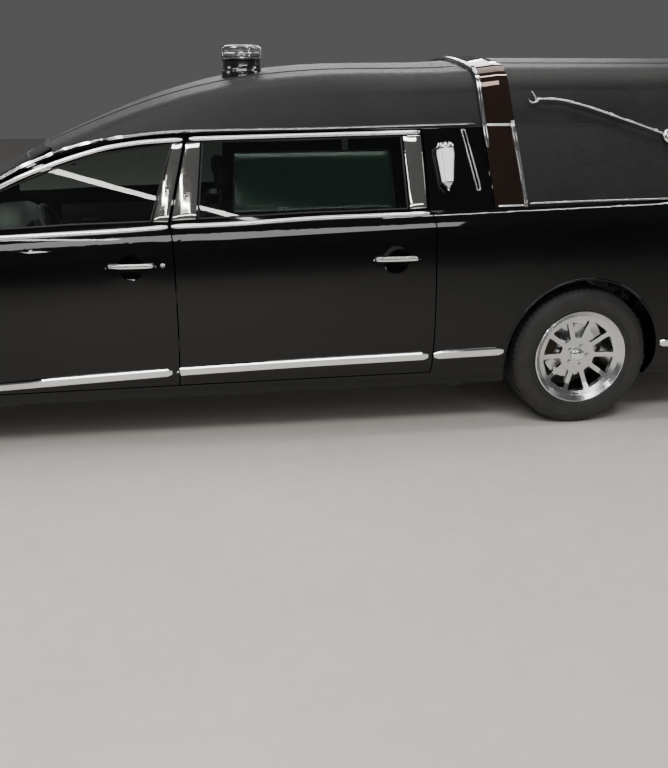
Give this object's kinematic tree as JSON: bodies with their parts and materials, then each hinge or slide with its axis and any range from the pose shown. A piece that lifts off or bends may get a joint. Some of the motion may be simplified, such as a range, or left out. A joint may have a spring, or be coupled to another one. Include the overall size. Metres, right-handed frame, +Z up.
{
  "type": "hearse",
  "caption": "Long black funeral car with a raised vinyl roof, blind rear quarters with landau bars, side doors, a lifting hood, a tail loading door and a casket deck.",
  "frame": {"origin": "on the ground, midway along the length and across the width", "axes": "+X to the front of the car, +Y to its left side, +Z up"},
  "size_m": [6.3999, 2.2102, 1.811],
  "materials": {
    "black_paint": "high-gloss black lacquer",
    "underbody": "matt black underbody coating",
    "vinyl": "fine-grained black vinyl",
    "chrome": "bright polished",
    "band": "smoked mirror finish with bright edges",
    "tinted_glass": "dark green tint",
    "clear_glass": "laminated clear",
    "lamp_clear": "clear lens over chrome reflector",
    "lamp_red": "red lens",
    "lamp_white": "white fluted glass",
    "beacon_black": "gloss black housing",
    "grille_chrome": "bright bars",
    "leather": "black leather",
    "dash_plastic": "grained soft black",
    "deck": "lacquered wood with bright runners",
    "iron": "painted casting",
    "steel": "bare steel",
    "alloy": "machined bright alloy",
    "rubber": "black tyre rubber"
  },
  "bodies": {
    "body": {"floor_pan": "underbody", "body_side_left": "black_paint", "body_side_right": "black_paint", "roof": "vinyl", "roof_band": "band", "front_fender_left": "black_paint", "front_fender_right": "black_paint", "cowl": "black_paint", "front_bumper": "black_paint", "grille": "grille_chrome", "headlamps": "lamp_clear", "windshield": "clear_glass", "dashboard": "dash_plastic", "engine_block": "iron", "front_seats": "leather", "casket_deck": "deck", "landau_bars": "chrome", "coach_lamps": "lamp_white", "rear_bumper": "black_paint", "tail_lamps": "lamp_red", "fuel_tank": "underbody", "exhaust": "steel", "front_suspension": "iron", "rear_axle": "iron", "beacon": "beacon_black"},
    "hood": {"hood": "black_paint"},
    "front_door_left": {"front_door_left": "black_paint", "front_door_glass_left": "tinted_glass", "mirror_left": "black_paint"},
    "front_door_right": {"front_door_right": "black_paint", "front_door_glass_right": "tinted_glass", "mirror_right": "black_paint"},
    "rear_door_left": {"rear_door_left": "black_paint", "rear_door_glass_left": "tinted_glass"},
    "rear_door_right": {"rear_door_right": "black_paint", "rear_door_glass_right": "tinted_glass"},
    "loading_door": {"loading_door": "black_paint", "loading_door_glass": "tinted_glass"},
    "steering_wheel": {"steering_wheel": "leather"},
    "knuckle_left": {"knuckle_left": "iron"},
    "knuckle_right": {"knuckle_right": "iron"},
    "wheel_front_left": {"tyre_front_left": "rubber", "rim_front_left": "alloy"},
    "wheel_front_right": {"tyre_front_right": "rubber", "rim_front_right": "alloy"},
    "wheel_rear_left": {"tyre_rear_left": "rubber", "rim_rear_left": "alloy"},
    "wheel_rear_right": {"tyre_rear_right": "rubber", "rim_rear_right": "alloy"}
  },
  "joints": [
    {"name": "hood_hinge", "type": "hinge", "parent": "body", "child": "hood", "pos_m": [1.807, 0, 1.007], "axis": [0, -1, 0], "range_deg": [0, 48]},
    {"name": "front_door_left_hinge", "type": "hinge", "parent": "body", "child": "front_door_left", "pos_m": [1.64, 0.941, 0.6], "axis": [0, 0, -1], "range_deg": [0, 65]},
    {"name": "front_door_right_hinge", "type": "hinge", "parent": "body", "child": "front_door_right", "pos_m": [1.64, -0.941, 0.6], "axis": [0, 0, 1], "range_deg": [0, 65]},
    {"name": "rear_door_left_hinge", "type": "hinge", "parent": "body", "child": "rear_door_left", "pos_m": [0.44875, 0.941, 0.6], "axis": [0, 0, -1], "range_deg": [0, 68]},
    {"name": "rear_door_right_hinge", "type": "hinge", "parent": "body", "child": "rear_door_right", "pos_m": [0.44875, -0.941, 0.6], "axis": [0, 0, 1], "range_deg": [0, 68]},
    {"name": "loading_door_hinge", "type": "hinge", "parent": "body", "child": "loading_door", "pos_m": [-3.02562, 0.563, 1.38], "axis": [-0.0995, 0, -0.995], "range_deg": [0, 110]},
    {"name": "steer_left", "type": "hinge", "parent": "body", "child": "knuckle_left", "pos_m": [2.18, 0.73, 0.345], "axis": [0, 0, 1], "range_deg": [-33, 33]},
    {"name": "steer_right", "type": "hinge", "parent": "body", "child": "knuckle_right", "pos_m": [2.18, -0.73, 0.345], "axis": [0, 0, 1], "range_deg": [-33, 33]},
    {"name": "steering_wheel_turn", "type": "hinge", "parent": "body", "child": "steering_wheel", "pos_m": [1.01, 0.375, 0.905], "axis": [0.9117, 0, -0.4108], "range_deg": [-540, 540]},
    {"name": "wheel_front_left_spin", "type": "hinge", "parent": "knuckle_left", "child": "wheel_front_left", "pos_m": [2.18, 0.812, 0.345], "axis": [0, 1, 0], "continuous": true},
    {"name": "wheel_front_right_spin", "type": "hinge", "parent": "knuckle_right", "child": "wheel_front_right", "pos_m": [2.18, -0.812, 0.345], "axis": [0, 1, 0], "continuous": true},
    {"name": "wheel_rear_left_spin", "type": "hinge", "parent": "body", "child": "wheel_rear_left", "pos_m": [-1.5, 0.812, 0.345], "axis": [0, 1, 0], "continuous": true},
    {"name": "wheel_rear_right_spin", "type": "hinge", "parent": "body", "child": "wheel_rear_right", "pos_m": [-1.5, -0.812, 0.345], "axis": [0, 1, 0], "continuous": true}
  ],
  "couplings": [
    {"joint": "steer_right", "follows": "steer_left", "ratio": 1},
    {"joint": "steering_wheel_turn", "follows": "steer_left", "ratio": -16}
  ]
}
